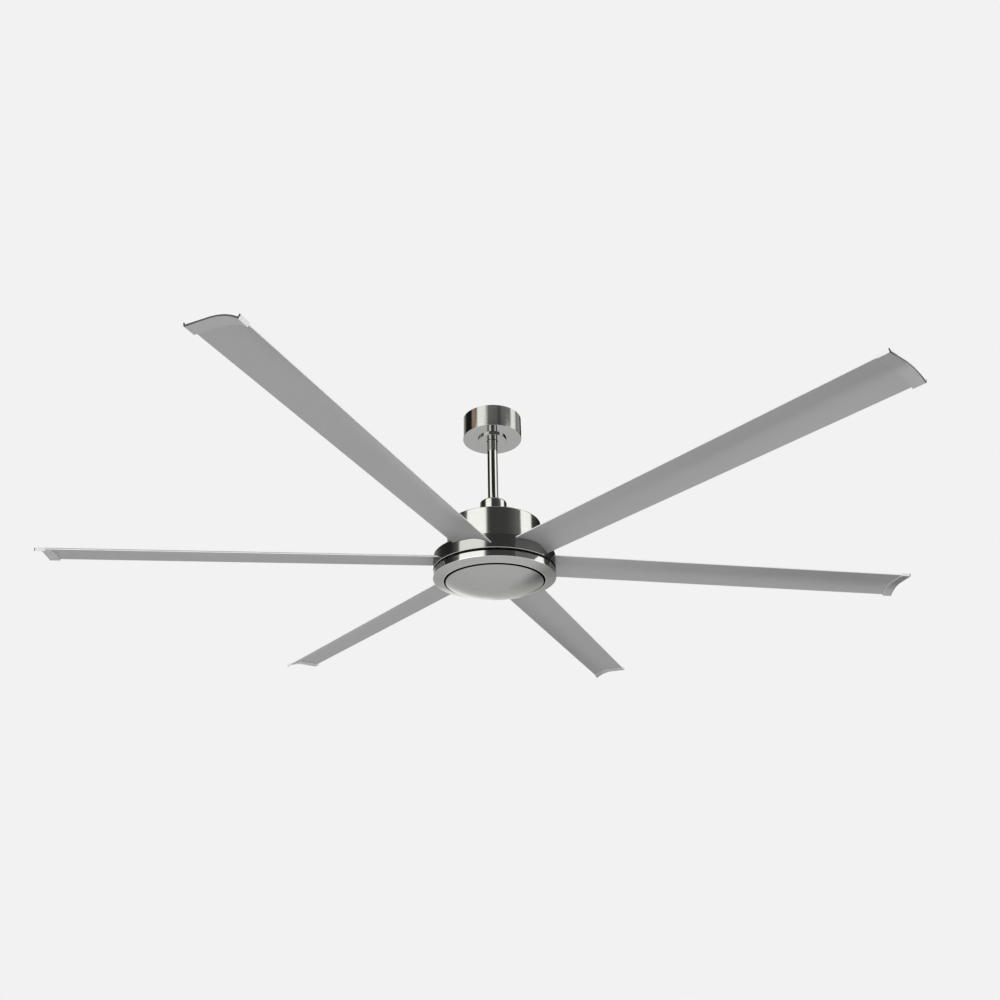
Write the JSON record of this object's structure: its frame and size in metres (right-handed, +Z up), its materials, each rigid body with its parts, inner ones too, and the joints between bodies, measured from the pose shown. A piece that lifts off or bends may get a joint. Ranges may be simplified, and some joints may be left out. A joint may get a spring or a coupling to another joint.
{
  "type": "ceiling fan",
  "caption": "Ceiling fan on a short downrod, with thin cambered metal blades in a turning ring, a drum motor housing, a lower ring and a shallow dome.",
  "frame": {"origin": "middle of the ceiling bracket's top face, where it meets the ceiling", "axes": "+Z up along the fan's axis, +X along the bracket's two screw holes"},
  "size_m": [2.0276, 1.915, 0.4727],
  "materials": {
    "brushed_nickel": "brushed round the axis, satin",
    "polished_nickel": "polished",
    "blade_aluminium": "fine satin",
    "cap_aluminium": "satin",
    "cast_aluminium": "as cast",
    "zinc_steel": "zinc plated",
    "black_steel": "black oxide",
    "bearing_steel": "ground",
    "ball_plastic": "moulded",
    "core_steel": "stacked sheets",
    "copper": "enamelled wire",
    "magnet": "sintered",
    "board": "solder mask",
    "components": "moulded"
  },
  "bodies": {
    "hanger": {"hanger_bracket": "zinc_steel", "canopy": "brushed_nickel", "canopy_screws": "zinc_steel", "canopy_cover": "brushed_nickel"},
    "pendant": {"motor_housing": "brushed_nickel", "lower_ring": "brushed_nickel", "dome": "brushed_nickel", "downrod": "polished_nickel", "collar": "polished_nickel", "stator_hub": "cast_aluminium", "coupling": "cast_aluminium", "ball_pin": "zinc_steel", "coupling_pin": "zinc_steel", "pin_clip": "zinc_steel", "housing_screws": "zinc_steel", "shaft_nut": "zinc_steel", "shaft_sleeve": "zinc_steel", "set_screws": "black_steel", "motor_shaft": "bearing_steel", "lower_inner_race": "bearing_steel", "upper_inner_race": "bearing_steel", "hanger_ball": "ball_plastic", "stator_core": "core_steel", "stator_windings": "copper", "driver_board": "board", "driver_components": "components"},
    "bearing_cages": {"bearing_balls": "bearing_steel"},
    "rotor": {"lower_outer_race": "bearing_steel", "upper_outer_race": "bearing_steel", "rotor_can": "black_steel", "rotor_magnets": "magnet", "rotor_screws": "zinc_steel", "flywheel": "cast_aluminium", "blade_ring": "brushed_nickel", "ring_screws": "zinc_steel", "blade_screws": "zinc_steel", "blade_1": "blade_aluminium", "blade_2": "blade_aluminium", "blade_3": "blade_aluminium", "blade_4": "blade_aluminium", "blade_5": "blade_aluminium", "blade_6": "blade_aluminium", "tip_cap_1": "cap_aluminium", "tip_cap_2": "cap_aluminium", "tip_cap_3": "cap_aluminium", "tip_cap_4": "cap_aluminium", "tip_cap_5": "cap_aluminium", "tip_cap_6": "cap_aluminium", "blade_saddle_1": "cast_aluminium", "blade_saddle_2": "cast_aluminium", "blade_saddle_3": "cast_aluminium", "blade_saddle_4": "cast_aluminium", "blade_saddle_5": "cast_aluminium", "blade_saddle_6": "cast_aluminium"}
  },
  "joints": [
    {"name": "hanger_swing", "type": "hinge", "parent": "hanger", "child": "pendant", "pos_m": [0, 0, -0.042], "axis": [1, 0, 0], "range_deg": [-2.5, 2.5]},
    {"name": "fan_spin", "type": "hinge", "parent": "pendant", "child": "rotor", "pos_m": [0, 0, -0.4], "axis": [0, 0, 1], "continuous": true},
    {"name": "bearing_roll", "type": "hinge", "parent": "pendant", "child": "bearing_cages", "pos_m": [0, 0, -0.35], "axis": [0, 0, 1], "continuous": true}
  ],
  "couplings": [
    {"joint": "bearing_roll", "follows": "fan_spin", "ratio": 0.6032}
  ]
}
